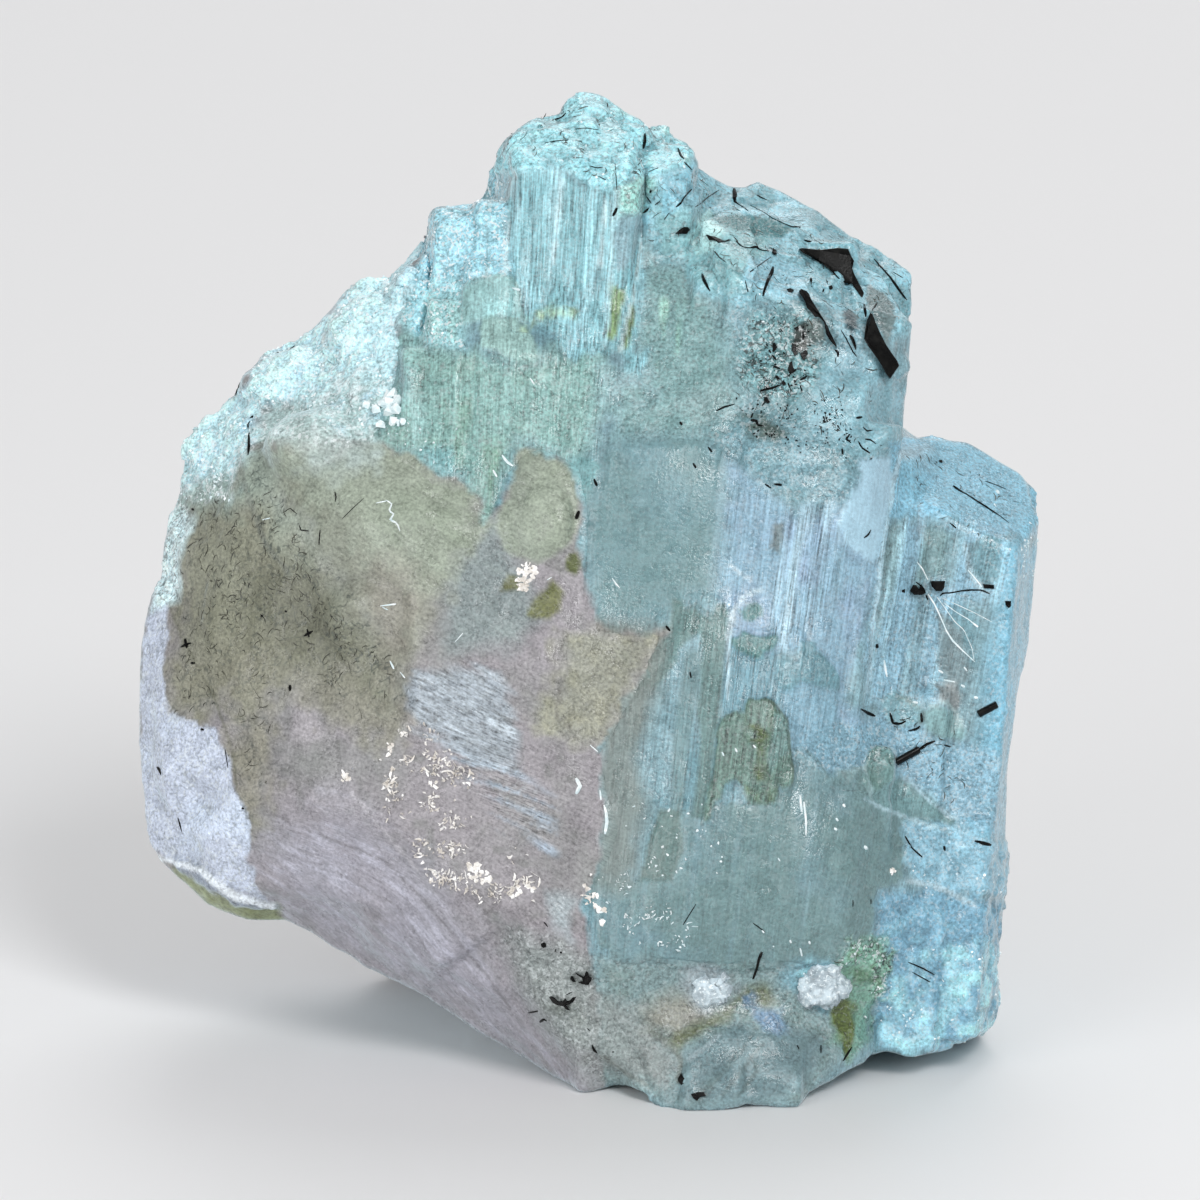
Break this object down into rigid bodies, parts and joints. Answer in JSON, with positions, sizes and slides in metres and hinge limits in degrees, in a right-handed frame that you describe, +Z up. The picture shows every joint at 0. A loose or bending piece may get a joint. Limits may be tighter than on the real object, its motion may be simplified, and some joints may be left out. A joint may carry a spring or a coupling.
{
  "type": "aquamarine crystal specimen",
  "caption": "Hand specimen of pale blue-green beryl prisms grown on milky quartz, with black schorl needles and white albite, standing on its broken root.",
  "frame": {"origin": "middle of the box around the specimen, on the ground it stands on", "axes": "+Z up, roughly along the crystals' c axis; -Y towards the broad face that the picture shows; +X to that face's right"},
  "size_m": [0.0628, 0.0462, 0.0637],
  "materials": {
    "aquamarine": "vitreous, translucent, striated prism faces and etched ends",
    "quartz": "milky, broken, satin with small glints",
    "schorl": "glossy black, striated",
    "albite": "sugary white"
  },
  "bodies": {
    "root": {"aquamarine": "aquamarine", "quartz_matrix": "quartz", "schorl_mass": "schorl", "schorl_prism_1": "schorl", "schorl_prism_2": "schorl", "schorl_prism_3": "schorl", "schorl_prism_4": "schorl", "schorl_prism_5": "schorl", "schorl_prism_6": "schorl", "schorl_prism_7": "schorl", "schorl_prism_8": "schorl", "schorl_prism_9": "schorl", "schorl_prism_10": "schorl", "schorl_prism_11": "schorl", "schorl_prism_12": "schorl", "albite_lump_1": "albite", "albite_lump_2": "albite"}
  },
  "joints": []
}
